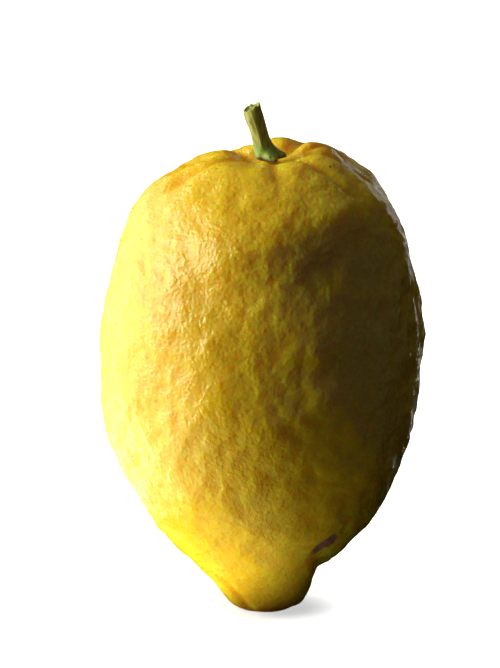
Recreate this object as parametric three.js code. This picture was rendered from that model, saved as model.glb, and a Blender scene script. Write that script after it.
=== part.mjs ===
// A large fresh lemon with its cut stem, standing on the small flat spot at its tip.
// Millimetres, +Z up, the front of the fruit faces -Y. The origin is on the surface it stands on.
// Angles round the fruit are in degrees from the front (-Y) towards the right (+X).
import * as THREE from "three";

// Driving dimensions of the fruit.
const standRadius = 5.5; // the flat spot at the tip
const standOffset = 0.7; // how far the flat spot sits to the right of the body's middle
const bellyRadius = 34.2; // the fruit is widest at bellyHeight
const bellyHeight = 55;
const depthShare = 0.97; // the fruit is a little thinner front to back than side to side
const rimRadius = 9.6; // the raised rim round the stem cavity
const rimHeight = 100.9;
const cavityHeight = 98.9; // the floor of the stem cavity, on the axis
const cavityShift = [1.3, -3.0]; // how far the cavity sits off the axis, to the right and to the front
const leanStart = 68; // the height from which the shoulder leans
const shiftStart = 78; // the height from which the middle line runs to the cavity
const tipTop = 18; // the height by which the tip has met the body
const shoulderTilt = 12; // degrees that the top leans to the front
const shoulderRoll = 4.0; // degrees by which the top rises to the right
const furrowStart = 2.5; // how far from the cavity's middle the furrows begin
const furrowFade = 0.35; // the share of its reach after which a furrow fades
const skinStart = 2.2; // the height from which the skin is fully uneven
const creaseStart = 1.6; // the height from which the creases are fully sunk
const skinTop = 6; // how far from the cavity's middle the skin is fully uneven
const rings = 54; // rings of vertices from the tip to the cavity
const sectors = 60; // vertices in each ring

// Driving dimensions of the stem.
const stemLength = 11.5; // from the calyx's underside to the middle of the cut's edge
const stemRadius = 1.95;
const calyxTilt = 11; // degrees that the calyx leans to the front
const stemLean = 16.8; // degrees that the stem leans to the left
const backLean = 3.5; // degrees that it leans to the back
const cutSlope = 25; // degrees by which the cut across the stem rises to the right
const cutHollow = 0.7; // how far the pith is sunk below the cut's edge
const splinter = { at: 75, spread: 24, rise: 0.5 }; // the bark's torn point at the cut's edge
const calyxRadius = 2.7; // between its lobes
const lobeSpread = 22; // degrees
const seatGap = 0.3; // clearance between the calyx and the fruit
const footHeight = 3; // where the calyx has narrowed to the neck
const cutStart = 6; // the height from which the stem slants towards its cut
const stemSectors = 40; // vertices in each ring of the stem

// The pointed lobes of the calyx, and how far each reaches from the middle.
const calyxLobes = [
  { at: 18, reach: 4.6 },
  { at: 90, reach: 4.0 },
  { at: 158, reach: 4.1 },
  { at: 228, reach: 3.6 },
  { at: 304, reach: 3.2 },
];

// Furrows that run down from the stem cavity over the shoulder. drift is how far one turns on its way.
const shoulderFurrows = [
  { at: 12, depth: 0.9, width: 1.7, reach: 26, drift: -8 },
  { at: 48, depth: 1.5, width: 1.4, reach: 38, drift: 12 },
  { at: 80, depth: 1.9, width: 1.5, reach: 42, drift: 12 },
  { at: 113, depth: 1.9, width: 1.8, reach: 34, drift: 8 },
  { at: 146, depth: 2.2, width: 1.9, reach: 28, drift: -5 },
  { at: 184, depth: 2.0, width: 1.9, reach: 32, drift: 7 },
  { at: 209, depth: 2.0, width: 1.9, reach: 28, drift: -6 },
  { at: 257, depth: 1.6, width: 1.6, reach: 34, drift: 5 },
  { at: 290, depth: 1.7, width: 1.2, reach: 36, drift: -12 },
  { at: 330, depth: 0.5, width: 2.2, reach: 34, drift: 16 },
];

// Creases of the tip, as paths of [angle, height] points.
const creases = [
  { depth: 1.2, width: 1.9, path: [[40, 14], [58, 10.4], [86, 7.4], [120, 7], [150, 8]] },
  { depth: 1.1, width: 1.1, path: [[80, 8.4], [68, 6], [60, 3.2], [54, 0.6]] },
  { depth: 0.9, width: 1.3, path: [[318, 7.5], [326, 3.6], [334, 0.6]] },
  { depth: 0.8, width: 1.6, path: [[196, 9.5], [204, 4.5], [210, 0.6]] },
];

// Broad swellings and hollows of the skin, round a middle point of [angle, height].
const swellings = [
  { at: [268, 62], size: 10, rise: 0.9 },
  { at: [266, 73.5], size: 6.5, rise: -1.4 },
  { at: [265, 84.5], size: 7, rise: 0.9 },
  { at: [264, 92], size: 6, rise: 1.5 },
  { at: [272, 43], size: 9, rise: 1.1 },
  { at: [270, 15], size: 7, rise: 0.9 },
  { at: [270, 24], size: 5, rise: 0.5 },
  { at: [274, 9], size: 3.6, rise: 0.6 },
  { at: [212, 101], size: 4, rise: -2.0 },
  { at: [98, 86.5], size: 7, rise: 0.3 },
  { at: [92, 71], size: 6, rise: 0.9 },
  { at: [90, 60.5], size: 4, rise: 0.7 },
  { at: [94, 78], size: 5, rise: -0.5 },
  { at: [100, 94.5], size: 6, rise: -3.2 },
  { at: [88, 44], size: 9, rise: -0.5 },
  { at: [86, 31], size: 7, rise: 0.4 },
  { at: [88, 22], size: 5, rise: -1.2 },
  { at: [100, 12.5], size: 4, rise: 0.9 },
  { at: [86, 5], size: 4, rise: -0.7 },
  { at: [246, 99], size: 4.5, rise: -1.2 },
  { at: [152, 102], size: 6, rise: -1.0 },
  { at: [122, 97.5], size: 5, rise: 0.4 },
  { at: [346, 84], size: 8, rise: 0.6 },
  { at: [347, 68], size: 9, rise: 0.6 },
  { at: [16, 70], size: 13, rise: -0.35 },
  { at: [330, 40], size: 13, rise: 0.4 },
  { at: [178, 66], size: 12, rise: 0.8 },
  { at: [150, 34], size: 12, rise: 0.5 },
  { at: [215, 44], size: 13, rise: -0.5 },
];

// The slow unevenness that runs over the whole skin, as plane waves of [x, y, z] radians a millimetre.
const unevenness = [
  { wave: [0.21, 0.07, 0.11], phase: 0.6, rise: 0.2 },
  { wave: [-0.09, 0.24, 0.13], phase: 2.1, rise: 0.2 },
  { wave: [0.16, -0.19, 0.21], phase: 4.4, rise: 0.16 },
  { wave: [0.05, 0.13, -0.31], phase: 1.2, rise: 0.16 },
];

const radians = THREE.MathUtils.degToRad;
const smoothstep = THREE.MathUtils.smoothstep;

/** 1 in the middle of a bump, falling smoothly to 0 about two widths away. */
function bell(distance, width) {
  return Math.exp(-((distance / width) ** 2));
}

/** 1 along the line of a crease, falling away at once on both sides, so that the crease is sharp. */
function cleft(distance, width) {
  return Math.exp(-(Math.abs(distance / width) ** 1.4));
}

/** The shortest turn from one angle to another, in radians, between -PI and PI. */
function turnBetween(from, to) {
  return Math.atan2(Math.sin(to - from), Math.cos(to - from));
}

/** The fruit's half outline as [radius, height] points: a flat spot, the tip, the belly, the rim and the cavity. */
function fruitOutline() {
  const side = new THREE.SplineCurve([
    new THREE.Vector2(standRadius, 0),
    new THREE.Vector2(8.0, 1.3),
    new THREE.Vector2(10.2, 4.0),
    new THREE.Vector2(12.2, 7.0),
    new THREE.Vector2(15.2, 10.6),
    new THREE.Vector2(19.3, 15.2),
    new THREE.Vector2(25.3, 22.8),
    new THREE.Vector2(31.0, 34.6),
    new THREE.Vector2(bellyRadius, bellyHeight - 8),
    new THREE.Vector2(bellyRadius, bellyHeight + 5),
    new THREE.Vector2(32.9, 71),
    new THREE.Vector2(30.4, 82),
    new THREE.Vector2(25.4, 92),
    new THREE.Vector2(18.4, 97.6),
    new THREE.Vector2(rimRadius + 3, rimHeight - 0.3),
    new THREE.Vector2(rimRadius - 0.6, rimHeight),
    new THREE.Vector2(5.6, cavityHeight + 1.2),
    new THREE.Vector2(2.6, cavityHeight + 0.15),
    new THREE.Vector2(0, cavityHeight),
  ]);
  return [new THREE.Vector2(0, 0), ...side.getSpacedPoints(rings)];
}

/** For each point of an outline, its outward normal and its distance along the outline from the last point. */
function outlineFrames(outline) {
  const frames = outline.map((point, i) => {
    const before = outline[Math.max(i - 1, 0)];
    const after = outline[Math.min(i + 1, outline.length - 1)];
    const along = after.clone().sub(before).normalize();
    return { point, normal: new THREE.Vector2(along.y, -along.x), fromTop: 0 };
  });
  for (let i = frames.length - 2; i >= 0; i--) {
    frames[i].fromTop = frames[i + 1].fromTop + outline[i].distanceTo(outline[i + 1]);
  }
  return frames;
}

/** How far the shoulder furrows sink the skin at this angle, distance from the cavity's middle and radius. */
function furrowDepth(angle, fromTop, radius) {
  let sunk = 0;
  for (const furrow of shoulderFurrows) {
    const middle = radians(furrow.at + furrow.drift * (fromTop / furrow.reach));
    const aside = radius * turnBetween(middle, angle);
    const start = smoothstep(fromTop, furrowStart, rimRadius);
    const end = 1 - smoothstep(fromTop, furrowFade * furrow.reach, furrow.reach);
    const width = furrow.width * (0.7 + fromTop / furrow.reach);
    sunk += furrow.depth * start * end * cleft(aside, width);
  }
  return sunk;
}

/** How far the creases sink the skin at this angle, height and radius. */
function creaseDepth(angle, height, radius) {
  let sunk = 0;
  for (const crease of creases) {
    let nearest = Infinity;
    for (let i = 0; i + 1 < crease.path.length; i++) {
      const [a, b] = [crease.path[i], crease.path[i + 1]];
      const step = new THREE.Vector2(radius * radians(b[0] - a[0]), b[1] - a[1]);
      const here = new THREE.Vector2(radius * turnBetween(radians(a[0]), angle), height - a[1]);
      const share = THREE.MathUtils.clamp(here.dot(step) / step.lengthSq(), 0, 1);
      nearest = Math.min(nearest, here.distanceTo(step.multiplyScalar(share)));
    }
    sunk += crease.depth * bell(nearest, crease.width);
  }
  return sunk;
}

/** How far the swellings and the unevenness raise the skin at this angle, height and radius. */
function skinRise(angle, height, radius) {
  let rise = 0;
  for (const swelling of swellings) {
    const aside = radius * turnBetween(radians(swelling.at[0]), angle);
    rise += swelling.rise * bell(Math.hypot(aside, height - swelling.at[1]), swelling.size);
  }
  const place = [radius * Math.sin(angle), -radius * Math.cos(angle), height];
  for (const { wave, phase, rise: most } of unevenness) {
    rise += most * Math.sin(wave[0] * place[0] + wave[1] * place[1] + wave[2] * place[2] + phase);
  }
  return rise;
}

/** How far to the right and back the fruit's middle line runs at this height. */
function middleAt(height) {
  const tip = 1 - smoothstep(height, 0, tipTop);
  const top = smoothstep(height, shiftStart, rimHeight);
  return [standOffset * tip + cavityShift[0] * top, cavityShift[1] * top];
}

/** Where a point of the smooth fruit goes once it is off centre and its shoulder leans to the front. */
function settle(x, y, z) {
  const middle = middleAt(z);
  const atTop = smoothstep(z, leanStart, rimHeight);
  const lean = atTop * (y * Math.tan(radians(shoulderTilt)) + x * Math.tan(radians(shoulderRoll)));
  return new THREE.Vector3(x + middle[0], y * depthShare + middle[1], z + lean);
}

/** The whole fruit: a turned outline whose skin is then furrowed, creased and made uneven. */
function fruitGeometry() {
  const frames = outlineFrames(fruitOutline());
  const geometry = new THREE.LatheGeometry(frames.map((frame) => frame.point), sectors);
  const places = geometry.attributes.position;
  for (let i = 0; i < places.count; i++) {
    const { point, normal, fromTop } = frames[i % frames.length];
    const angle = Math.atan2(places.getX(i), places.getZ(i));
    const onSkin = smoothstep(point.y, 0, skinStart) * smoothstep(fromTop, 0.5, skinTop);
    const atTip = smoothstep(point.y, -0.3, creaseStart);
    const sunk = furrowDepth(angle, fromTop, point.x) + atTip * creaseDepth(angle, point.y, point.x);
    const raised = onSkin * skinRise(angle, point.y, point.x) - sunk;
    const radius = point.x + (point.y > 0 ? raised * normal.x : 0);
    const height = point.y + (point.y > 0 ? raised * normal.y : 0);
    const settled = settle(radius * Math.sin(angle), -radius * Math.cos(angle), height);
    places.setXYZ(i, settled.x, settled.y, Math.max(settled.z, 0));
  }
  geometry.computeVertexNormals();
  return geometry;
}

/** 1 at an angle, in degrees, falling smoothly to 0 about two spreads to either side of it. */
function bellAt(middle, spread, angle) {
  return bell(turnBetween(radians(middle), angle), radians(spread));
}

/** How far the calyx reaches from its middle at this angle. */
function calyxReach(angle) {
  let reach = calyxRadius;
  for (const lobe of calyxLobes) {
    reach += (lobe.reach - calyxRadius) * bellAt(lobe.at, lobeSpread, angle);
  }
  return reach;
}

/** The stem's half outline as [radius, height] points: the calyx, the neck, the shaft and the hollow cut. */
function stemOutline() {
  const neck = new THREE.SplineCurve([
    new THREE.Vector2(calyxRadius, 0.8),
    new THREE.Vector2(calyxRadius, 1.3),
    new THREE.Vector2(calyxRadius - 0.1, 2),
    new THREE.Vector2(2.3, 3.2),
    new THREE.Vector2(2.1, 5.2),
    new THREE.Vector2(stemRadius, 7.6),
    new THREE.Vector2(stemRadius - 0.1, stemLength),
  ]);
  return [
    new THREE.Vector2(0, 0),
    new THREE.Vector2(1.3, 0.02),
    new THREE.Vector2(2.2, 0.25),
    ...neck.getSpacedPoints(14),
    new THREE.Vector2(stemRadius - 0.5, stemLength - 0.1),
    new THREE.Vector2(0.8, stemLength - 0.8 * cutHollow),
    new THREE.Vector2(0, stemLength - cutHollow),
  ];
}

/** The stem with the calyx at its foot: a turned outline with pointed lobes, leaning, and cut on a slant. */
function stemGeometry() {
  const geometry = new THREE.LatheGeometry(stemOutline(), stemSectors);
  const places = geometry.attributes.position;
  for (let i = 0; i < places.count; i++) {
    const [side, up, front] = [places.getX(i), places.getY(i), places.getZ(i)];
    const angle = Math.atan2(side, front);
    const atFoot = (1 - smoothstep(up, 1, footHeight)) * smoothstep(up, 0.1, 0.8);
    const star = 1 + (calyxReach(angle) / calyxRadius - 1) * atFoot;
    const atEdge = smoothstep(Math.hypot(side, front), 0.8, stemRadius) * smoothstep(up, stemLength - 1, stemLength);
    const torn = splinter.rise * bellAt(splinter.at, splinter.spread, angle) * atEdge;
    const cut = Math.tan(radians(cutSlope)) * side * smoothstep(up, cutStart, stemLength);
    const left = Math.tan(radians(stemLean)) * up * smoothstep(up, 0, 3.5);
    const back = Math.tan(radians(backLean)) * up;
    places.setXYZ(i, side * star - left, back - front * star, up + cut + torn);
  }
  geometry.computeVertexNormals();
  return geometry;
}

/** A named sub-part with its own surface. */
function makeMesh(name, geometry, colour, roughness) {
  const material = new THREE.MeshStandardMaterial({ color: colour, roughness, metalness: 0 });
  const mesh = new THREE.Mesh(geometry, material);
  mesh.name = name;
  return mesh;
}

const lemon = new THREE.Group();

const fruit = makeMesh("fruit", fruitGeometry(), 0xeec232, 0.42);
lemon.add(fruit);

const stem = makeMesh("stem", stemGeometry(), 0x7b7d33, 0.6);
const seat = settle(0, 0, cavityHeight);
stem.position.set(seat.x, seat.y, seat.z + seatGap);
stem.rotation.x = radians(calyxTilt);
lemon.add(stem);

export default lemon;
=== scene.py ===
"""A whole ripe lemon standing on the small flat spot at its tip, with its short cut stem.

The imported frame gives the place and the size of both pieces. This script grows the rind and the stem
over them, with their furrows, wrinkles and pores, dresses them, and stands them in a plain pale studio.
Shapes are worked out in millimetres, and a finished mesh is written in metres.
Angles round the fruit are in degrees from its front (-Y) towards its right (+X).
"""

from __future__ import annotations

import logging
import math
from dataclasses import dataclass, field
from enum import Enum

import bmesh
import bpy
import numpy as np
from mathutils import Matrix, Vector, noise

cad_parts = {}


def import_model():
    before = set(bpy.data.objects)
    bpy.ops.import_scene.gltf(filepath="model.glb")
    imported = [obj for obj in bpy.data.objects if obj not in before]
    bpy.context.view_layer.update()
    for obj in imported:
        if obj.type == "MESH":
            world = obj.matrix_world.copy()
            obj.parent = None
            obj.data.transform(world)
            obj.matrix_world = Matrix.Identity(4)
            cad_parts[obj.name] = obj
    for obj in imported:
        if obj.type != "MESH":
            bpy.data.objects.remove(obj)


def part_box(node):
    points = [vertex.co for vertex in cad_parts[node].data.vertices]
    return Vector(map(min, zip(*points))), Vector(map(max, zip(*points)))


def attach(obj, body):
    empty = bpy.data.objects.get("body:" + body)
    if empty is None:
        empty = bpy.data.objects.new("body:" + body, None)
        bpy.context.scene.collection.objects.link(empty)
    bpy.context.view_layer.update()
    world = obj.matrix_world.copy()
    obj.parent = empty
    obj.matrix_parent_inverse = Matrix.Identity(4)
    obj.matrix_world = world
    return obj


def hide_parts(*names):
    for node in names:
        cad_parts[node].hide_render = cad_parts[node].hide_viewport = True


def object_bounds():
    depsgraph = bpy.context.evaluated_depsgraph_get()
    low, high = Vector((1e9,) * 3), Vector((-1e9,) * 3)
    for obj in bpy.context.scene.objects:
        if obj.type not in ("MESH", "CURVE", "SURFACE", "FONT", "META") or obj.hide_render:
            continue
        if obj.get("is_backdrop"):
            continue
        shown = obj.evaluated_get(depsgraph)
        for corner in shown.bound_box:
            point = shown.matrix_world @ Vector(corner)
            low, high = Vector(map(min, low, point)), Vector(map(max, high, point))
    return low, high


log = logging.getLogger("lemon")

MM = 0.001

# How fast a furrow's walls fall: at 2 it would be a round valley.
FURROW_SHARPNESS = 1.4
# A length that is added so that nothing is divided by zero.
TINY = 1e-9


# ---------------------------------------------------------------------------------------------
# Small tools for shapes
# ---------------------------------------------------------------------------------------------


def bell(distance: np.ndarray, width: float) -> np.ndarray:
    """A bump that is 1 in the middle and falls smoothly to 0 about two widths away."""
    return np.exp(-((distance / width) ** 2))


def cleft(distance: np.ndarray, width: float) -> np.ndarray:
    """A bump that falls away at once on both sides of its middle, so that a groove of it is sharp."""
    return np.exp(-(np.abs(distance / width) ** FURROW_SHARPNESS))


def smoothstep(value: np.ndarray, start: float, end: float) -> np.ndarray:
    """A smooth step from 0 at start to 1 at end."""
    share = np.clip((value - start) / (end - start), 0.0, 1.0)
    return share * share * (3.0 - 2.0 * share)


def turn_between(start: np.ndarray | float, end: np.ndarray | float) -> np.ndarray:
    """The shortest turn from one angle to another, in radians, between -pi and pi."""
    return np.arctan2(np.sin(end - start), np.cos(end - start))


def catmull_rom(corners: list[tuple[float, float]], steps: int) -> np.ndarray:
    """A smooth line through a list of corners.

    Args:
        corners: The corners, as (radius, height).
        steps: How many points each stretch between two corners gets.

    Returns:
        The line's points, one a row.
    """
    known = np.array([corners[0], *corners, corners[-1]], float)
    share = np.linspace(0.0, 1.0, steps, endpoint=False)[:, None]
    line = []
    for before, start, end, after in zip(known, known[1:], known[2:], known[3:]):
        leave, arrive = (end - before) / 2, (after - start) / 2
        cubic = 2 * start - 2 * end + leave + arrive
        square = -3 * start + 3 * end - 2 * leave - arrive
        line.append(((cubic * share + square) * share + leave) * share + start)
    return np.vstack([*line, known[-1:]])


@dataclass
class SkinPlace:
    """Where the points of a skin lie on their turned outline, one value of each array a point."""

    angle: np.ndarray
    radius: np.ndarray
    height: np.ndarray
    out_radius: np.ndarray
    out_height: np.ndarray
    from_top: np.ndarray

    def raised(self, rise: np.ndarray) -> tuple[np.ndarray, np.ndarray]:
        """The points' radius and height once each is moved outwards by its rise."""
        return self.radius + rise * self.out_radius, self.height + rise * self.out_height


class TurnedOutline:
    """Half the outline of a turned shape, from its foot on the axis up to its top on the axis."""

    def __init__(self, line: np.ndarray) -> None:
        """Measures the outline.

        Args:
            line: Its points as (radius, height), close together.
        """
        step = np.diff(line, axis=0)
        length = np.hypot(step[:, 0], step[:, 1])
        belt = length * (line[:-1, 0] + line[1:, 0]) / 2
        covered = np.concatenate([[0.0], np.cumsum(belt)])
        self.line = line
        self.along = np.concatenate([[0.0], np.cumsum(length)])
        self.turn = np.arccos(np.clip(1.0 - 2.0 * covered / covered[-1], -1.0, 1.0))
        slope = np.gradient(line, axis=0)
        self.out = np.stack([slope[:, 1], -slope[:, 0]], axis=1)
        self.out /= np.maximum(np.linalg.norm(self.out, axis=1), TINY)[:, None]

    def lay(self, ball: np.ndarray) -> SkinPlace:
        """Lays a ball's points over the turned shape, so that each keeps its share of the area.

        Args:
            ball: The points of a ball of radius 1, one a row.

        Returns:
            The place of each point.
        """
        turn = np.pi - np.arccos(np.clip(ball[:, 2], -1.0, 1.0))
        return SkinPlace(
            angle=np.arctan2(ball[:, 0], -ball[:, 1]),
            radius=np.interp(turn, self.turn, self.line[:, 0]),
            height=np.interp(turn, self.turn, self.line[:, 1]),
            out_radius=np.interp(turn, self.turn, self.out[:, 0]),
            out_height=np.interp(turn, self.turn, self.out[:, 1]),
            from_top=self.along[-1] - np.interp(turn, self.turn, self.along),
        )


class Skin:
    """A closed skin of even quads. It starts as a cube that is halved again and again."""

    def __init__(self, name: str, halvings: int) -> None:
        """Makes the skin's mesh and object.

        Args:
            name: The piece's name.
            halvings: How many times each edge of the cube is halved.
        """
        skin = bmesh.new()
        bmesh.ops.create_cube(skin, size=2.0)
        for _ in range(halvings):
            bmesh.ops.subdivide_edges(skin, edges=skin.edges[:], cuts=1, use_grid_fill=True)
        bmesh.ops.recalc_face_normals(skin, faces=skin.faces[:])
        self.mesh = bpy.data.meshes.new(name)
        skin.to_mesh(self.mesh)
        skin.free()
        self.object = bpy.data.objects.new(name, self.mesh)
        bpy.context.scene.collection.objects.link(self.object)
        for face in self.mesh.polygons:
            face.use_smooth = True

    def ball(self) -> np.ndarray:
        """The cube's points blown up to a ball of radius 1, with its quads kept alike in size."""
        cube = np.tan(self._read("co") * (np.pi / 4))
        return cube / np.linalg.norm(cube, axis=1)[:, None]

    def _read(self, what: str) -> np.ndarray:
        """Reads one vector for each vertex of the mesh.

        Args:
            what: The vertex value's name, "co" for its place or "normal".

        Returns:
            The vectors, one a row.
        """
        values = np.empty(len(self.mesh.vertices) * 3, np.float32)
        self.mesh.vertices.foreach_get(what, values)
        return values.reshape(-1, 3).astype(float)

    def place(self, points: np.ndarray) -> None:
        """Puts the vertices at these points, which are in millimetres."""
        self.mesh.vertices.foreach_set("co", (points * MM).astype(np.float32).ravel())
        self.mesh.update()

    def points(self) -> np.ndarray:
        """The vertices, in millimetres."""
        return self._read("co") / MM

    def normals(self) -> np.ndarray:
        """The vertices' outward normals."""
        return self._read("normal")

    def paint(self, name: str, values: np.ndarray) -> None:
        """Keeps one number for each vertex, under a name that a material can read."""
        attribute = self.mesh.attributes.new(name, "FLOAT", "POINT")
        attribute.data.foreach_set("value", values.astype(np.float32))


def fit_to_box(points: np.ndarray, low: Vector, high: Vector) -> np.ndarray:
    """Moves and stretches points a little, so that their box is a CAD node's box.

    Args:
        points: The points, in millimetres.
        low: The box's lowest corner, in metres.
        high: The box's highest corner, in metres.

    Returns:
        The fitted points, in millimetres.
    """
    start, end = np.array(low) / MM, np.array(high) / MM
    least, most = points.min(axis=0), points.max(axis=0)
    return start + (points - least) * (end - start) / (most - least)


# ---------------------------------------------------------------------------------------------
# Finishes
# ---------------------------------------------------------------------------------------------


def linear(colour: str) -> tuple[float, float, float, float]:
    """Turns a colour to linear light by the sRGB curve.

    Args:
        colour: The colour as sRGB hex, such as "#F0C020".

    Returns:
        Its linear red, green and blue, and an alpha of 1.
    """
    channels = [int(colour[i : i + 2], 16) / 255 for i in (1, 3, 5)]
    red, green, blue = (c / 12.92 if c <= 0.04045 else ((c + 0.055) / 1.055) ** 2.4 for c in channels)
    return red, green, blue, 1.0


def add_node(
    tree: bpy.types.NodeTree,
    kind: str,
    inputs: dict[str | int, object] | None = None,
    **settings: object,
) -> bpy.types.Node:
    """Adds a shader node.

    Args:
        tree: The tree that it goes in.
        kind: The node's type.
        inputs: For each input, a value to set or another node's output to link.
        settings: The node's own settings.

    Returns:
        The new node.
    """
    node = tree.nodes.new(kind)
    for name, value in settings.items():
        setattr(node, name, value)
    for socket, value in (inputs or {}).items():
        if isinstance(value, bpy.types.NodeSocket):
            tree.links.new(value, node.inputs[socket])
        else:
            node.inputs[socket].default_value = value
    return node


class MixSocket(int, Enum):
    """The sockets of a Mix node that mixes colours."""

    FACTOR = 0
    FIRST = 6
    SECOND = 7
    RESULT = 2


def mix_colours(
    tree: bpy.types.NodeTree, factor: object, first: object, second: object
) -> bpy.types.NodeSocket:
    """Mixes two colours. Each input is a value or another node's output.

    Args:
        tree: The tree that the Mix node goes in.
        factor: The share of the second colour.
        first: The first colour.
        second: The second colour.

    Returns:
        The node's output.
    """
    inputs = {
        MixSocket.FACTOR.value: factor,
        MixSocket.FIRST.value: first,
        MixSocket.SECOND.value: second,
    }
    node = add_node(tree, "ShaderNodeMix", inputs, data_type="RGBA")
    return node.outputs[MixSocket.RESULT.value]


def blank_material(name: str) -> tuple[bpy.types.Material, bpy.types.NodeTree, bpy.types.Node]:
    """A new material with only its output.

    Args:
        name: The material's name.

    Returns:
        The material, its node tree and its output node.
    """
    material = bpy.data.materials.new(name)
    material.use_nodes = True
    tree = material.node_tree
    tree.nodes.clear()
    return material, tree, add_node(tree, "ShaderNodeOutputMaterial")


@dataclass(frozen=True)
class RindFinish:
    """Ripe lemon rind: flavedo full of oil glands, which light gets into, under a thin natural wax.

    The wax gives a satin gloss that breaks up on the pores. The pits over the oil glands carry painted
    shade, a deeper, warmer yellow, and the rims between them a paler painted highlight; the low relief,
    the furrows and the creases carry the same painted shade. Red light goes furthest inside, so the rind
    turns a warm brown where it goes into shade.
    """

    skin: str = "#FAC81C"
    # rim is a painted highlight colour for the rims between the pores; hollow is the painted shade colour
    # for the pits, the low relief, the furrows and the creases.
    rim: str = "#FCDC48"
    hollow: str = "#F4BC10"
    pale_patch: str = "#F8D838"
    scar: str = "#A8765C"
    speck: str = "#6B3E14"
    palest: float = 0.5
    # How strong the painted highlight on the pore rims, the painted shade in the pore pits and the painted
    # shade in the low relief are.
    rim_highlight_strength: float = 0.3
    pit_shade_strength: float = 0.3
    low_shade_strength: float = 0.35
    speck_radius: float = 0.35 * MM
    patch_size: float = 17.0 * MM
    pore_spacing: float = 1.05 * MM
    pore_drift: float = 0.6 * MM
    drift_size: float = 2.625 * MM
    pore_depth: float = 0.2 * MM
    bowl_height: float = 0.35
    grain_size: float = 0.9 * MM
    grain_height: float = 1.3
    roughness: float = 0.3
    duller: float = 0.08
    glossier: float = 0.06
    scatter: float = 0.75
    scatter_depth: float = 6.5 * MM
    scatter_reach: tuple[float, float, float] = (1.0, 0.3, 0.06)

    def material(self, speck: Vector) -> bpy.types.Material:
        """The rind's material, which reads the relief that the skin keeps for each vertex.

        Args:
            speck: The place of the one dark speck, in metres.

        Returns:
            The material.
        """
        material, tree, output = blank_material("ripe_lemon_rind")
        place = add_node(tree, "ShaderNodeTexCoord").outputs["Object"]
        relief = add_node(tree, "ShaderNodeAttribute", attribute_name="relief").outputs["Fac"]
        # Painted shade: the furrows and creases are painted the deeper hollow colour by their depth.
        furrow_shade = add_node(tree, "ShaderNodeAttribute", attribute_name="furrow_shade").outputs["Fac"]
        scar = add_node(tree, "ShaderNodeAttribute", attribute_name="scar").outputs["Fac"]
        patches = add_node(
            tree,
            "ShaderNodeTexNoise",
            {"Vector": place, "Scale": 1 / self.patch_size, "Detail": 3.0, "Roughness": 0.55},
        )
        pale = add_node(
            tree,
            "ShaderNodeMapRange",
            {
                "Value": patches.outputs["Fac"],
                "From Min": 0.45,
                "From Max": 0.75,
                "To Max": self.palest,
            },
        )
        ground = mix_colours(tree, pale.outputs[0], linear(self.skin), linear(self.pale_patch))
        drift = add_node(
            tree,
            "ShaderNodeTexNoise",
            {"Vector": place, "Scale": 1 / self.drift_size, "Detail": 1.0},
        )
        bent = add_node(
            tree,
            "ShaderNodeVectorMath",
            {0: drift.outputs["Color"], 1: (self.pore_drift,) * 3, 2: place},
            operation="MULTIPLY_ADD",
        )
        pores = add_node(
            tree,
            "ShaderNodeTexVoronoi",
            {"Vector": bent.outputs[0], "Scale": 1 / self.pore_spacing},
            feature="F1",
        ).outputs["Distance"]
        # Painted highlight: the rims between the pores are painted a paler yellow, standing in for light
        # caught on them.
        rim = add_node(
            tree,
            "ShaderNodeMapRange",
            {"Value": pores, "From Min": 0.4, "From Max": 0.8, "To Max": self.rim_highlight_strength},
        )
        # Painted shade: the pits of the pores are painted the deeper hollow colour.
        pit_shade = add_node(
            tree,
            "ShaderNodeMapRange",
            {"Value": pores, "From Min": 0.4, "From Max": 0.05, "To Max": self.pit_shade_strength},
        )
        # Painted shade: the low parts of the relief are painted the deeper hollow colour.
        low = add_node(
            tree,
            "ShaderNodeMapRange",
            {"Value": relief, "From Min": 0.0, "From Max": -0.8, "To Max": self.low_shade_strength},
        )
        # The hollow colour goes in as painted shade and the rim colour as painted highlight.
        colour = mix_colours(tree, low.outputs[0], ground, linear(self.hollow))
        colour = mix_colours(tree, rim.outputs[0], colour, linear(self.rim))
        colour = mix_colours(tree, pit_shade.outputs[0], colour, linear(self.hollow))
        colour = mix_colours(tree, furrow_shade, colour, linear(self.hollow))
        colour = mix_colours(tree, scar, colour, linear(self.scar))
        away = add_node(tree, "ShaderNodeVectorMath", {0: place, 1: speck}, operation="DISTANCE")
        mark = add_node(
            tree,
            "ShaderNodeMapRange",
            {
                "Value": away.outputs["Value"],
                "From Min": self.speck_radius,
                "From Max": 0.4 * self.speck_radius,
            },
        )
        colour = mix_colours(tree, mark.outputs[0], colour, linear(self.speck))
        bowls = add_node(
            tree,
            "ShaderNodeMapRange",
            {"Value": pores, "From Max": 0.6, "To Max": self.bowl_height},
            interpolation_type="SMOOTHSTEP",
        )
        grain = add_node(
            tree,
            "ShaderNodeTexNoise",
            {"Vector": place, "Scale": 1 / self.grain_size, "Detail": 1.5, "Roughness": 0.6},
        )
        height = add_node(
            tree,
            "ShaderNodeMath",
            {0: grain.outputs["Fac"], 1: self.grain_height, 2: bowls.outputs[0]},
            operation="MULTIPLY_ADD",
        )
        bump = add_node(
            tree,
            "ShaderNodeBump",
            {"Height": height.outputs[0], "Strength": 1.0, "Distance": self.pore_depth},
        )
        shine = add_node(
            tree,
            "ShaderNodeMapRange",
            {
                "Value": relief,
                "From Min": -0.3,
                "From Max": 0.5,
                "To Min": self.roughness + self.duller,
                "To Max": self.roughness - self.glossier,
            },
        )
        shader = add_node(
            tree,
            "ShaderNodeBsdfPrincipled",
            {
                "Base Color": colour,
                "Roughness": shine.outputs[0],
                "IOR": 1.46,
                "Subsurface Weight": self.scatter,
                "Subsurface Radius": self.scatter_reach,
                "Subsurface Scale": self.scatter_depth,
                "Normal": bump.outputs["Normal"],
            },
        )
        tree.links.new(shader.outputs["BSDF"], output.inputs["Surface"])
        return material


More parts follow.
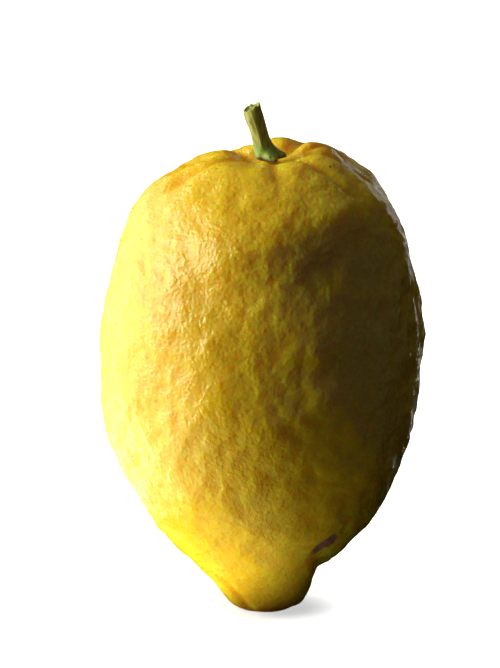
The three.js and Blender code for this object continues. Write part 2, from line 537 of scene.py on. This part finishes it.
@dataclass(frozen=True)
class StemFinish:
    """A green citrus twig: smooth young bark with corky brown streaks, and a cut of woody fibres.

    The bark gives a soft sheen along its ribs, and the streaks break it up.
    """

    bark: str = "#B2B046"
    young: str = "#98B63A"
    cork: str = "#86683A"
    dark: str = "#4A4630"
    cut: str = "#A3A83E"
    corkiest: float = 0.75
    streak_width: float = 0.5 * MM
    streak_length: float = 4.0 * MM
    streak_depth: float = 0.12 * MM
    roughness: float = 0.52
    scatter: float = 0.1
    scatter_depth: float = 0.5 * MM
    scatter_reach: tuple[float, float, float] = (0.5, 1.0, 0.2)

    def material(self) -> bpy.types.Material:
        """The stem's material, which reads the marks that the skin keeps for each vertex.

        Returns:
            The material.
        """
        material, tree, output = blank_material("green_citrus_twig")
        place = add_node(tree, "ShaderNodeTexCoord").outputs["Object"]
        young = add_node(tree, "ShaderNodeAttribute", attribute_name="young").outputs["Fac"]
        dry = add_node(tree, "ShaderNodeAttribute", attribute_name="dry").outputs["Fac"]
        cut = add_node(tree, "ShaderNodeAttribute", attribute_name="cut").outputs["Fac"]
        stretch = add_node(
            tree,
            "ShaderNodeMapping",
            {
                "Vector": place,
                "Scale": (1 / self.streak_width, 1 / self.streak_width, 1 / self.streak_length),
            },
        )
        streaks = add_node(
            tree,
            "ShaderNodeTexNoise",
            {"Vector": stretch.outputs["Vector"], "Scale": 1.0, "Detail": 4.0, "Roughness": 0.6},
        )
        corky = add_node(
            tree,
            "ShaderNodeMapRange",
            {
                "Value": streaks.outputs["Fac"],
                "From Min": 0.48,
                "From Max": 0.64,
                "To Max": self.corkiest,
            },
        )
        colour = mix_colours(tree, young, linear(self.bark), linear(self.young))
        colour = mix_colours(tree, corky.outputs[0], colour, linear(self.cork))
        colour = mix_colours(tree, dry, colour, linear(self.dark))
        colour = mix_colours(tree, cut, colour, linear(self.cut))
        bump = add_node(
            tree,
            "ShaderNodeBump",
            {"Height": streaks.outputs["Fac"], "Strength": 0.5, "Distance": self.streak_depth},
        )
        shader = add_node(
            tree,
            "ShaderNodeBsdfPrincipled",
            {
                "Base Color": colour,
                "Roughness": self.roughness,
                "IOR": 1.45,
                "Subsurface Weight": self.scatter,
                "Subsurface Radius": self.scatter_reach,
                "Subsurface Scale": self.scatter_depth,
                "Normal": bump.outputs["Normal"],
            },
        )
        tree.links.new(shader.outputs["BSDF"], output.inputs["Surface"])
        return material


@dataclass(frozen=True)
class FloorFinish:
    """White acrylic, lit so brightly that only a faint soft shadow shows on it."""

    colour: str = "#DCDCDC"
    roughness: float = 0.16

    def material(self) -> bpy.types.Material:
        """The floor's material.

        Returns:
            The material.
        """
        material, tree, output = blank_material("white_acrylic")
        shader = add_node(
            tree,
            "ShaderNodeBsdfPrincipled",
            {"Base Color": linear(self.colour), "Roughness": self.roughness, "IOR": 1.45},
        )
        tree.links.new(shader.outputs["BSDF"], output.inputs["Surface"])
        return material


# ---------------------------------------------------------------------------------------------
# The fruit
# ---------------------------------------------------------------------------------------------


@dataclass(frozen=True)
class Furrow:
    """A furrow that runs down from the stem cavity over the shoulder, turning by drift on its way.

    It begins at start from the cavity's middle, fades from a share of its reach on, and widens as it
    goes from a share of its width.
    """

    at: float
    depth: float
    width: float
    reach: float
    drift: float
    start: float = 2.5
    fade_share: float = 0.35
    width_share: float = 0.7

    def sink(self, skin: SkinPlace, rim: float) -> np.ndarray:
        """Works out how far the furrow sinks the skin.

        Args:
            skin: The skin's points.
            rim: How far from the cavity's middle the furrow is at its full depth.

        Returns:
            How far each point sinks.
        """
        middle = np.radians(self.at + self.drift * skin.from_top / self.reach)
        aside = skin.radius * turn_between(middle, skin.angle)
        start = smoothstep(skin.from_top, self.start, rim)
        end = 1 - smoothstep(skin.from_top, self.fade_share * self.reach, self.reach)
        width = self.width * (self.width_share + skin.from_top / self.reach)
        return self.depth * start * end * cleft(aside, width)


@dataclass(frozen=True)
class Crease:
    """A crease along a path of (angle, height) points."""

    depth: float
    width: float
    path: tuple[tuple[float, float], ...]

    def distance(self, skin: SkinPlace) -> np.ndarray:
        """Measures how far the skin is from the path.

        Args:
            skin: The skin's points.

        Returns:
            How far each point is from the nearest point of the path.
        """
        nearest = np.full(len(skin.angle), np.inf)
        for start, end in zip(self.path, self.path[1:]):
            step_aside = skin.radius * math.radians(end[0] - start[0])
            step_up = end[1] - start[1]
            aside = skin.radius * turn_between(math.radians(start[0]), skin.angle)
            up = skin.height - start[1]
            length = step_aside**2 + step_up**2 + TINY
            share = np.clip((aside * step_aside + up * step_up) / length, 0.0, 1.0)
            nearest = np.minimum(nearest, np.hypot(aside - share * step_aside, up - share * step_up))
        return nearest

    def sink(self, skin: SkinPlace) -> np.ndarray:
        """How far the crease sinks each point of the skin."""
        return self.depth * bell(self.distance(skin), self.width)


@dataclass(frozen=True)
class Swelling:
    """A broad swelling of the skin, or a hollow where its rise is negative."""

    at: float
    height: float
    size: float
    rise: float

    def lift(self, skin: SkinPlace) -> np.ndarray:
        """How far the swelling raises each point of the skin."""
        aside = skin.radius * turn_between(math.radians(self.at), skin.angle)
        return self.rise * bell(np.hypot(aside, skin.height - self.height), self.size)


@dataclass(frozen=True)
class Wave:
    """A slow wave over the whole skin. Its vector is in radians a millimetre."""

    vector: tuple[float, float, float]
    phase: float
    rise: float

    def lift(self, skin: SkinPlace) -> np.ndarray:
        """Works out how far the wave raises the skin.

        Args:
            skin: The skin's points.

        Returns:
            How far each point rises.
        """
        x, y = skin.radius * np.sin(skin.angle), -skin.radius * np.cos(skin.angle)
        along = self.vector[0] * x + self.vector[1] * y + self.vector[2] * skin.height
        return self.rise * np.sin(along + self.phase)


@dataclass
class FruitForm:
    """The fruit's form before its wrinkles and pores. It is the form of the frame's fruit.

    A pair of numbers gives where something begins and where it is full: heights, but for swell_end,
    which is how far from the cavity's middle.
    """

    stand_radius: float = 5.5
    stand_offset: float = 0.7
    belly_radius: float = 34.2
    belly_height: float = 55.0
    depth_share: float = 0.97
    rim_radius: float = 9.6
    rim_height: float = 100.9
    cavity_height: float = 98.9
    cavity_shift: tuple[float, float] = (1.3, -3.0)
    shoulder_tilt: float = 12.0
    shoulder_roll: float = 4.0
    tip_top: float = 18.0
    shift_start: float = 78.0
    lean_start: float = 68.0
    crease_start: tuple[float, float] = (-0.3, 1.6)
    swell_start: tuple[float, float] = (0.0, 2.2)
    swell_end: tuple[float, float] = (0.5, 6.0)
    outline_steps: int = 24
    furrows: tuple[Furrow, ...] = (
        Furrow(12, 0.9, 1.7, 26, -8),
        Furrow(48, 1.5, 1.4, 38, 12),
        Furrow(80, 1.9, 1.5, 42, 12),
        Furrow(113, 1.9, 1.8, 34, 8),
        Furrow(146, 2.2, 1.9, 28, -5),
        Furrow(184, 2.0, 1.9, 32, 7),
        Furrow(209, 2.0, 1.9, 28, -6),
        Furrow(257, 1.6, 1.6, 34, 5),
        Furrow(290, 1.7, 1.2, 36, -12),
        Furrow(330, 0.5, 2.2, 34, 16),
    )
    creases: tuple[Crease, ...] = (
        Crease(1.2, 1.9, ((40, 14.0), (58, 10.4), (86, 7.4), (120, 7.0), (150, 8.0))),
        Crease(1.1, 1.1, ((80, 8.4), (68, 6.0), (60, 3.2), (54, 0.6))),
        Crease(0.9, 1.3, ((318, 7.5), (326, 3.6), (334, 0.6))),
        Crease(0.8, 1.6, ((196, 9.5), (204, 4.5), (210, 0.6))),
    )
    swellings: tuple[Swelling, ...] = (
        Swelling(268, 62, 10, 0.9),
        Swelling(266, 73.5, 6.5, -1.4),
        Swelling(265, 84.5, 7, 0.9),
        Swelling(264, 92, 6, 1.5),
        Swelling(272, 43, 9, 1.1),
        Swelling(270, 15, 7, 0.9),
        Swelling(270, 24, 5, 0.5),
        Swelling(274, 9, 3.6, 0.6),
        Swelling(212, 101, 4, -2.0),
        Swelling(98, 86.5, 7, 0.3),
        Swelling(92, 71, 6, 0.9),
        Swelling(90, 60.5, 4, 0.7),
        Swelling(94, 78, 5, -0.5),
        Swelling(100, 94.5, 6, -3.2),
        Swelling(88, 44, 9, -0.5),
        Swelling(86, 31, 7, 0.4),
        Swelling(88, 22, 5, -1.2),
        Swelling(100, 12.5, 4, 0.9),
        Swelling(86, 5, 4, -0.7),
        Swelling(246, 99, 4.5, -1.2),
        Swelling(152, 102, 6, -1.0),
        Swelling(122, 97.5, 5, 0.4),
        Swelling(346, 84, 8, 0.6),
        Swelling(347, 68, 9, 0.6),
        Swelling(16, 70, 13, -0.35),
        Swelling(330, 40, 13, 0.4),
        Swelling(178, 66, 12, 0.8),
        Swelling(150, 34, 12, 0.5),
        Swelling(215, 44, 13, -0.5),
    )
    waves: tuple[Wave, ...] = (
        Wave((0.21, 0.07, 0.11), 0.6, 0.2),
        Wave((-0.09, 0.24, 0.13), 2.1, 0.2),
        Wave((0.16, -0.19, 0.21), 4.4, 0.16),
        Wave((0.05, 0.13, -0.31), 1.2, 0.16),
    )

    def outline(self) -> TurnedOutline:
        """Draws the fruit's outline.

        Returns:
            The outline: the flat spot, the tip, the belly, the shoulder, the rim and the cavity.
        """
        side = [
            (self.stand_radius, 0.0),
            (8.0, 1.3),
            (10.2, 4.0),
            (12.2, 7.0),
            (15.2, 10.6),
            (19.3, 15.2),
            (25.3, 22.8),
            (31.0, 34.6),
            (self.belly_radius, self.belly_height - 8),
            (self.belly_radius, self.belly_height + 5),
            (32.9, 71.0),
            (30.4, 82.0),
            (25.4, 92.0),
            (18.4, 97.6),
            (self.rim_radius + 3, self.rim_height - 0.3),
            (self.rim_radius - 0.6, self.rim_height),
            (5.6, self.cavity_height + 1.2),
            (2.6, self.cavity_height + 0.15),
            (0.0, self.cavity_height),
        ]
        across = np.linspace(0, self.stand_radius, self.outline_steps, endpoint=False)
        spot = np.stack([across, np.zeros(self.outline_steps)], axis=1)
        return TurnedOutline(np.vstack([spot, catmull_rom(side, self.outline_steps)]))

    def sunk(self, skin: SkinPlace) -> np.ndarray:
        """Works out how far the furrows and creases sink the skin.

        Args:
            skin: The skin's points.

        Returns:
            How far each point sinks.
        """
        furrows = sum(furrow.sink(skin, self.rim_radius) for furrow in self.furrows)
        creases = sum(crease.sink(skin) for crease in self.creases)
        return furrows + creases * smoothstep(skin.height, *self.crease_start)

    def lifted(self, skin: SkinPlace) -> np.ndarray:
        """How far the swellings and the waves raise each point of the skin."""
        on_skin = smoothstep(skin.height, *self.swell_start) * smoothstep(skin.from_top, *self.swell_end)
        return on_skin * sum(part.lift(skin) for part in (*self.swellings, *self.waves))

    def settle(self, x: np.ndarray, y: np.ndarray, z: np.ndarray) -> np.ndarray:
        """Moves the upright fruit's points off centre and leans its shoulder.

        Args:
            x: How far to the right each point is.
            y: How far back each point is.
            z: How high each point is.

        Returns:
            Where the points go, one a row.
        """
        tip = 1 - smoothstep(z, 0, self.tip_top)
        top = smoothstep(z, self.shift_start, self.rim_height)
        at_top = smoothstep(z, self.lean_start, self.rim_height)
        tilt, roll = math.radians(self.shoulder_tilt), math.radians(self.shoulder_roll)
        lean = at_top * (y * math.tan(tilt) + x * math.tan(roll))
        return np.stack(
            [
                x + self.stand_offset * tip + self.cavity_shift[0] * top,
                y * self.depth_share + self.cavity_shift[1] * top,
                z + lean,
            ],
            axis=1,
        )


@dataclass
class Relief:
    """The relief of the rind, from its lobules down to the pores over its oil glands.

    It is fainter at the foot and over the shoulder, and stronger where the rind is crinkled.
    """

    lobule_size: float = 7.0
    lobule_rise: float = 0.46
    lump_size: float = 3.2
    lump_rise: float = 0.3
    bead_size: float = 1.5
    bead_rise: float = 0.13
    pore_size: float = 1.3
    pore_depth: float = 0.06
    pore_middle: float = 0.55
    least_pores: float = 0.4
    creased_at: float = 88.0
    creased_spread: float = 26.0
    creased_more: float = 1.4
    bend: float = 0.8
    seed: int = 3
    foot: tuple[float, float] = (2.0, 16.0)
    shoulder: tuple[float, float] = (88.0, 99.0)
    shoulder_less: float = 0.25
    least: float = 0.25

    def strength(self, height: np.ndarray) -> np.ndarray:
        """How strong the relief is at each height, from its least to 1."""
        full = smoothstep(height, *self.foot) * (1 - self.shoulder_less * smoothstep(height, *self.shoulder))
        return self.least + (1 - self.least) * full

    def creased(self, angle: np.ndarray) -> np.ndarray:
        """How much stronger the small relief is at each angle, for the rind is crinkled on one side."""
        off = turn_between(math.radians(self.creased_at), angle) / math.radians(self.creased_spread)
        return 1 + (self.creased_more - 1) * np.exp(-(off**2))

    def measure(self, points: np.ndarray) -> dict[str, np.ndarray]:
        """Works out each kind of relief at each point.

        Args:
            points: The skin's points, in millimetres.

        Returns:
            How high each kind of relief is, between about -0.5 and 0.5.
        """
        noise.seed_set(self.seed)
        kinds = ("lobules", "lumps", "beads", "pores")
        found = {kind: np.empty(len(points)) for kind in kinds}
        for i, point in enumerate(points):
            place = Vector(point)
            bent = place + noise.noise_vector(place / self.lump_size) * self.bend
            found["lobules"][i] = noise.noise(bent / self.lobule_size)
            found["lumps"][i] = noise.noise(bent / self.lump_size)
            found["beads"][i] = noise.noise(bent / self.bead_size)
            found["pores"][i] = noise.voronoi(place / self.pore_size)[0][0] - self.pore_middle
        return found

    def rise(self, found: dict[str, np.ndarray], place: SkinPlace) -> np.ndarray:
        """Adds up the kinds of relief.

        Args:
            found: How high each kind of relief is at each point.
            place: Where the points are on the outline.

        Returns:
            How far each point stands out, in millimetres.
        """
        strength = self.strength(place.height)
        creased = strength * self.creased(place.angle)
        return (
            self.lobule_rise * found["lobules"] * strength
            + self.lump_rise * found["lumps"] * creased
            + self.bead_rise * found["beads"] * creased
            + self.pore_depth * found["pores"] * (self.least_pores + (1 - self.least_pores) * strength)
        )


@dataclass
class Fruit:
    """The whole fruit: its form, the relief of its rind and its marks.

    The speck is at an angle and a distance from the fruit's middle, on the shoulder.
    """

    form: FruitForm = field(default_factory=FruitForm)
    relief: Relief = field(default_factory=Relief)
    finish: RindFinish = field(default_factory=RindFinish)
    halvings: int = 7
    scar: Crease = Crease(0.16, 2.0, ((36.7, 16.9), (38.4, 17.8), (40.3, 18.7)))
    scar_edge: tuple[float, float] = (0.04, 0.1)
    speck_at: float = 61.6
    speck_out: float = 15.0
    shoulder_end: tuple[float, float] = (20.0, 30.0)
    # How much painted shade each millimetre of furrow or crease depth gives, and the most it gives.
    furrow_shade_share: float = 0.16
    furrow_shade_most: float = 0.5

    def speck_place(self, place: SkinPlace, points: np.ndarray) -> Vector:
        """Finds the point of the shoulder that the speck is on.

        Args:
            place: Where the skin's points are on the outline.
            points: The points, in millimetres.

        Returns:
            The point, in metres.
        """
        aside = place.radius * turn_between(math.radians(self.speck_at), place.angle)
        below = smoothstep(place.from_top, *self.shoulder_end) * self.form.rim_height
        away = np.hypot(aside, place.radius - self.speck_out) + below
        return Vector(points[np.argmin(away)] * MM)

    def build(self) -> bpy.types.Object:
        """Grows the rind over the frame's fruit and dresses it.

        Returns:
            The finished piece.
        """
        skin = Skin("lemon_rind", self.halvings)
        place = self.form.outline().lay(skin.ball())
        sunk = self.form.sunk(place)
        scar_depth = self.scar.sink(place)
        radius, height = place.raised(self.form.lifted(place) - sunk)
        upright = (radius * np.sin(place.angle), -radius * np.cos(place.angle), height)
        points = fit_to_box(self.form.settle(*upright), *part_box("fruit"))
        skin.place(points)
        relief = self.relief.measure(points)
        rise = self.relief.rise(relief, place) - scar_depth
        points = points + skin.normals() * rise[:, None]
        points[:, 2] = np.maximum(points[:, 2], 0.0)
        skin.place(points)
        bumps = relief["lobules"] + relief["lumps"] + relief["beads"]
        skin.paint("relief", np.clip(bumps, -1, 1) * self.relief.strength(place.height))
        # Painted shade: the depth of the furrows and creases darkens their colour.
        skin.paint("furrow_shade", np.clip(self.furrow_shade_share * sunk, 0, self.furrow_shade_most))
        skin.paint("scar", smoothstep(scar_depth, *self.scar_edge))
        skin.mesh.materials.append(self.finish.material(self.speck_place(place, points)))
        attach(skin.object, "root")
        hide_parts("fruit")
        return skin.object


# ---------------------------------------------------------------------------------------------
# The stem
# ---------------------------------------------------------------------------------------------


@dataclass(frozen=True)
class Lobe:
    """Something that stands out at one angle, spreads to both sides of it, and reaches this far."""

    at: float
    spread: float
    reach: float

    def share(self, angle: np.ndarray) -> np.ndarray:
        """1 at the lobe's angle, falling smoothly to 0 about two spreads to either side of it."""
        return bell(turn_between(math.radians(self.at), angle), math.radians(self.spread))


@dataclass
class Stem:
    """The cut stem, with the pointed calyx at its foot. Heights are from the calyx's seat.

    A pair of numbers gives the heights or radii where something begins and where it is full.
    """

    length: float = 11.5
    radius: float = 1.95
    lean: float = 16.8
    back_lean: float = 3.5
    tilt: float = 11.0
    cut_slope: float = 25.0
    cut_hollow: float = 0.2
    splinter: Lobe = Lobe(75, 24, 0.5)
    calyx_radius: float = 2.7
    lobes: tuple[Lobe, ...] = (
        Lobe(18, 22, 4.6),
        Lobe(90, 22, 4.0),
        Lobe(158, 22, 4.1),
        Lobe(228, 22, 3.6),
        Lobe(304, 22, 3.2),
    )
    ribs: int = 5
    first_rib_at: float = -6.0
    rib_sharpness: float = 0.6
    torn_size: float = 0.8
    torn_rise: float = 0.7
    bark_size: float = 1.1
    bark_rise: float = 0.12
    bark_squash: float = 0.3
    lobes_start: tuple[float, float] = (0.1, 0.8)
    lobes_end: tuple[float, float] = (1.0, 3.0)
    ribs_start: tuple[float, float] = (1.8, 4.0)
    lean_start: tuple[float, float] = (0.0, 3.5)
    cut_start: float = 6.0
    pith_radius: float = 0.8
    torn_depth: float = 1.0
    young_start: tuple[float, float] = (0.8, 2.0)
    young_end: tuple[float, float] = (3.0, 6.0)
    dry_top: tuple[float, float] = (0.8, 1.6)
    dry_radius: tuple[float, float] = (1.8, 2.6)
    cut_paint_depth: float = 0.3
    cut_paint_radius: tuple[float, float] = (1.5, 1.75)
    outline_steps: int = 12
    halvings: int = 6
    finish: StemFinish = field(default_factory=StemFinish)

    def outline(self) -> TurnedOutline:
        """Draws the stem's outline.

        Returns:
            The outline: the calyx, the neck, the shaft, and the cut with its hollow pith.
        """
        under = [(0.0, 0.0), (1.3, 0.02), (2.2, 0.25)]
        neck = [
            (self.calyx_radius, 0.8),
            (self.calyx_radius, 1.3),
            (self.calyx_radius - 0.1, 2.0),
            (2.3, 3.2),
            (2.1, 5.2),
            (self.radius, 7.6),
            (self.radius - 0.1, self.length - 0.12),
        ]
        top = [
            (self.radius - 0.22, self.length),
            (self.radius - 0.5, self.length - 0.1),
            (self.pith_radius, self.length - 0.8 * self.cut_hollow),
            (0.0, self.length - self.cut_hollow),
        ]
        return TurnedOutline(catmull_rom([*under, *neck, *top], self.outline_steps))

    def reach(self, angle: np.ndarray) -> np.ndarray:
        """How far the calyx reaches at each angle, as a share of its radius between the lobes."""
        longer = sum((lobe.reach - self.calyx_radius) * lobe.share(angle) for lobe in self.lobes)
        return 1 + longer / self.calyx_radius

    def ribbed(self, angle: np.ndarray) -> np.ndarray:
        """Works out how the shaft's ribs stand out, because a young twig is angular.

        Args:
            angle: The angles to look at.

        Returns:
            The radius at each angle, as a share of the round shaft's.
        """
        half = 180 / self.ribs
        off_middle = np.radians((np.degrees(angle) - self.first_rib_at) % (2 * half) - half)
        flat = math.cos(math.radians(half))
        return 1 + self.rib_sharpness * (flat / np.cos(off_middle) - (1 + flat) / 2)

    def uneven(self, points: np.ndarray, size: float) -> np.ndarray:
        """A natural unevenness of this size at each point, between about -0.5 and 0.5."""
        return np.array([noise.noise(Vector(point) / size) for point in points])

    def build(self) -> bpy.types.Object:
        """Grows the stem over the frame's stem and dresses it.

        Returns:
            The finished piece.
        """
        skin = Skin("stem_with_calyx", self.halvings)
        place = self.outline().lay(skin.ball())
        up, angle = place.height, place.angle
        at_foot = (1 - smoothstep(up, *self.lobes_end)) * smoothstep(up, *self.lobes_start)
        on_shaft = smoothstep(up, *self.ribs_start)
        near_end = smoothstep(up, self.length - self.torn_depth, self.length)
        at_edge = smoothstep(place.radius, self.pith_radius, self.radius) * near_end
        spread = 1 + (self.reach(angle) - 1) * at_foot
        spread = spread * (1 + (self.ribbed(angle) - 1) * on_shaft)
        side = place.radius * np.sin(angle) * spread
        front = place.radius * np.cos(angle) * spread
        upright = np.stack([side, -front, up], axis=1)
        along = upright * (1.0, 1.0, self.bark_squash)
        bark = 1 + self.bark_rise * self.uneven(along, self.bark_size)
        torn = self.splinter.reach * self.splinter.share(angle) * at_edge
        torn = torn + self.torn_rise * self.uneven(upright, self.torn_size) * at_edge
        cut = math.tan(math.radians(self.cut_slope)) * side * smoothstep(up, self.cut_start, self.length)
        left = math.tan(math.radians(self.lean)) * up * smoothstep(up, *self.lean_start)
        back = math.tan(math.radians(self.back_lean)) * up
        x, y, z = side * bark - left, back - front * bark, up + cut + torn
        turn = math.radians(self.tilt)
        turned = (x, y * math.cos(turn) - z * math.sin(turn), y * math.sin(turn) + z * math.cos(turn))
        points = fit_to_box(np.stack(turned, axis=1), *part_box("stem"))
        skin.place(points)
        self.mark(skin, place)
        skin.mesh.materials.append(self.finish.material())
        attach(skin.object, "root")
        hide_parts("stem")
        return skin.object

    def mark(self, skin: Skin, place: SkinPlace) -> None:
        """Marks where the stem is young and green, dry, or cut.

        Args:
            skin: The stem's skin.
            place: Where its points are on the outline.
        """
        up = place.height
        young = smoothstep(up, *self.young_start) * (1 - smoothstep(up, *self.young_end))
        dry = (1 - smoothstep(up, *self.dry_top)) * smoothstep(place.radius, *self.dry_radius)
        on_cut = smoothstep(up, self.length - self.cut_paint_depth, self.length)
        skin.paint("young", young)
        skin.paint("dry", dry)
        skin.paint("cut", on_cut * (1 - smoothstep(place.radius, *self.cut_paint_radius)))


# ---------------------------------------------------------------------------------------------
# The studio
# ---------------------------------------------------------------------------------------------


@dataclass(frozen=True)
class Softbox:
    """A flat soft light. It hangs round the fruit and faces it, or it lies on the floor and faces up.

    One that doesn't light only shows as a gleam on the wax, and one that doesn't gleam only lights.
    """

    name: str
    azimuth: float
    elevation: float
    distance: float
    width: float
    height: float
    power: float
    lies_flat: bool = False
    lights: bool = True
    gleams: bool = True

    def hang(self, aim: Vector) -> bpy.types.Object:
        """Hangs the light at its distance from the point it is aimed at, out of the camera's sight.

        Args:
            aim: The point it is aimed at, in metres.

        Returns:
            The light.
        """
        turn, rise = math.radians(self.azimuth), math.radians(self.elevation)
        away = Vector(
            (math.sin(turn) * math.cos(rise), -math.cos(turn) * math.cos(rise), math.sin(rise))
        )
        light = bpy.data.lights.new(self.name, "AREA")
        light.shape = "RECTANGLE"
        light.size, light.size_y = self.width, self.height
        light.energy = self.power
        lamp = bpy.data.objects.new(self.name, light)
        lamp.location = aim + away * self.distance
        facing = Vector((0.0, 0.0, 1.0)) if self.lies_flat else -away
        lamp.rotation_euler = facing.to_track_quat("-Z", "Y").to_euler()
        lamp.visible_camera = False
        lamp.visible_diffuse = self.lights
        lamp.visible_glossy = self.gleams
        bpy.context.scene.collection.objects.link(lamp)
        return lamp


@dataclass
class Studio:
    """A plain pale floor, a white surround, soft lights and the camera."""

    floor_side: float = 30.0
    camera_elevation: float = 11.0
    camera_distance: float = 0.7
    lens: float = 174.6
    aim_shift: tuple[float, float, float] = (-2.6 * MM, 0.0, 4.8 * MM)
    sensor: float = 36.0
    nearest: float = 0.01
    floor_light: float = 12.0
    floor_bounce: float = 5.6
    floor_light_angle: float = 70.0
    softboxes: tuple[Softbox, ...] = (
        Softbox("key", -80, 5, 0.75, 0.5, 1.1, 13.4),
        Softbox("wrap", -125, 4, 0.75, 0.6, 1.1, 6.0),
        Softbox("floor_glow", -90, -23.9, 0.13, 0.16, 0.16, 0.13, lies_flat=True),
        Softbox("floor_front", -20, -54, 0.067, 0.04, 0.04, 0.0062, lies_flat=True, gleams=False),
        Softbox("tip_glow", -58, -64.5, 0.0598, 0.022, 0.022, 0.0045, lies_flat=True, gleams=False),
        Softbox("top", 180, 45, 1.0, 1.3, 1.3, 3.4, gleams=False),
        Softbox("overhead", 150, 70, 1.0, 1.0, 1.0, 0.25),
        Softbox("pale_wall", 84, 0, 1.6, 2.2, 2.0, 1.6, lights=False),
        Softbox("rim", 158, 2, 0.8, 0.03, 0.7, 0.4, lights=False),
        Softbox("fill", 28, 12, 1.1, 0.8, 0.8, 0.45),
    )

    def build(self, low: Vector, high: Vector) -> None:
        """Builds the studio round the fruit.

        Args:
            low: The lowest corner of the frame's box, in metres.
            high: The highest corner of the frame's box, in metres.
        """
        aim = (low + high) / 2
        floor = self.lay_floor()
        for softbox in self.softboxes:
            softbox.hang(aim)
        self.light_floor(floor)
        self.surround()
        self.set_camera(aim + Vector(self.aim_shift))

    def lay_floor(self) -> bpy.types.Object:
        """Lays the floor, which the fruit neither mirrors nor is lit by.

        Returns:
            The floor.
        """
        sheet = bmesh.new()
        bmesh.ops.create_grid(sheet, x_segments=1, y_segments=1, size=self.floor_side / 2)
        mesh = bpy.data.meshes.new("floor")
        sheet.to_mesh(mesh)
        sheet.free()
        floor = bpy.data.objects.new("floor", mesh)
        mesh.materials.append(FloorFinish().material())
        bpy.context.scene.collection.objects.link(floor)
        floor.visible_diffuse = False
        floor.visible_glossy = False
        floor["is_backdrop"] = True
        return floor

    def light_floor(self, floor: bpy.types.Object) -> None:
        """Lights the floor evenly from overhead, but not the fruit.

        Only one of its two lights casts a shadow, so the shadow stays faint, as on a lit sweep.

        Args:
            floor: The floor.
        """
        receivers = bpy.data.collections.new("floor_only")
        receivers.objects.link(floor)
        for name, power in (("floor_light", self.floor_light), ("floor_bounce", self.floor_bounce)):
            light = bpy.data.lights.new(name, "SUN")
            light.energy = power
            light.angle = math.radians(self.floor_light_angle)
            light.use_shadow = name == "floor_light"
            lamp = bpy.data.objects.new(name, light)
            bpy.context.scene.collection.objects.link(lamp)
            lamp.light_linking.receiver_collection = receivers

    def surround(self) -> None:
        """A white surround that only the camera sees, so that the softboxes alone light the fruit."""
        world = bpy.data.worlds.new("white_surround")
        world.use_nodes = True
        world.node_tree.nodes["Background"].inputs["Color"].default_value = linear("#FFFFFF")
        world.node_tree.nodes["Background"].inputs["Strength"].default_value = 1.0
        world.cycles_visibility.diffuse = False
        world.cycles_visibility.glossy = False
        bpy.context.scene.world = world
        bpy.context.scene.view_settings.view_transform = "Standard"

    def set_camera(self, aim: Vector) -> None:
        """Sets the camera straight in front of the fruit, looking a little down on it.

        Args:
            aim: The point it looks at, in metres.
        """
        rise = math.radians(self.camera_elevation)
        back = Vector((0.0, -math.cos(rise), math.sin(rise)))
        data = bpy.data.cameras.new("camera")
        data.sensor_width = self.sensor
        data.lens = self.lens
        data.clip_start = self.nearest
        camera = bpy.data.objects.new("camera", data)
        camera.location = aim + back * self.camera_distance
        camera.rotation_euler = (-back).to_track_quat("-Z", "Y").to_euler()
        bpy.context.scene.collection.objects.link(camera)
        bpy.context.scene.camera = camera


def main() -> None:
    """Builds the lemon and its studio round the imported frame."""
    logging.basicConfig(level=logging.INFO, format="%(name)s: %(message)s")
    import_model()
    cad_low, cad_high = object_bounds()
    for part in (Fruit(), Stem()):
        piece = part.build()
        log.info("%s has %d faces", piece.name, len(piece.data.polygons))
    Studio().build(cad_low, cad_high)


if __name__ == "__main__":
    main()
